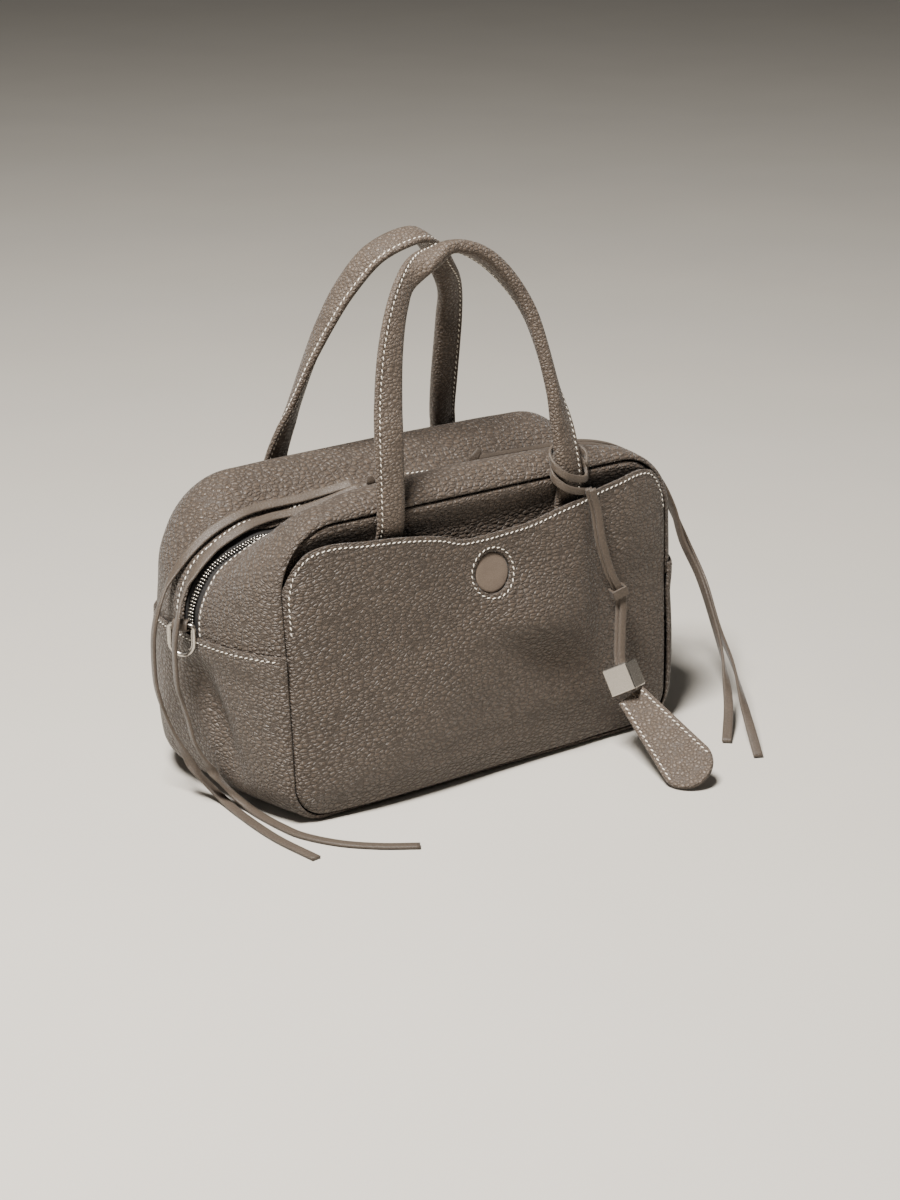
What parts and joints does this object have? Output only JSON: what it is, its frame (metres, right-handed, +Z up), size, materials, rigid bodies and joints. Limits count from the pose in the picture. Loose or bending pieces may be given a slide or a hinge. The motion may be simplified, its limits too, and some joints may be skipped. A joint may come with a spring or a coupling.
{
  "type": "boston bag",
  "caption": "Boxy soft leather handbag with a zipped, sagging top, a front pocket with a snap, two padded handles, lace zip pulls and a leather tag.",
  "frame": {"origin": "on the floor under the middle of the base", "axes": "+X to the bag's right as seen from the front, +Y to its back, +Z up"},
  "size_m": [0.3921, 0.2424, 0.3158],
  "materials": {
    "leather": "satin, pebbled",
    "smooth_leather": "satin, smooth",
    "tape_cloth": "matt",
    "zip_metal": "bright",
    "nickel": "satin"
  },
  "bodies": {
    "root": {"front_panel": "leather", "pocket_panel": "leather", "back_panel": "leather", "top_gusset_front": "leather", "top_gusset_back": "leather", "base_gusset": "leather", "snap_disc": "smooth_leather", "zip_tape": "tape_cloth", "zip_chain": "zip_metal", "zip_slider_left": "nickel", "zip_slider_right": "nickel", "lace_knot_left": "leather", "lace_knot_right": "leather", "lace_left_front": "leather", "lace_left_back": "leather", "lace_right_front": "leather", "lace_right_back": "leather", "d_ring_left": "nickel", "d_ring_right": "nickel", "ring_tab_left": "leather", "ring_tab_right": "leather", "front_handle": "leather", "rear_handle": "leather", "tag_wrap": "leather", "tag_strand_left": "leather", "tag_strand_right": "leather", "tag_keeper": "leather", "tag_cube": "nickel", "tag_paddle": "leather"}
  },
  "joints": []
}
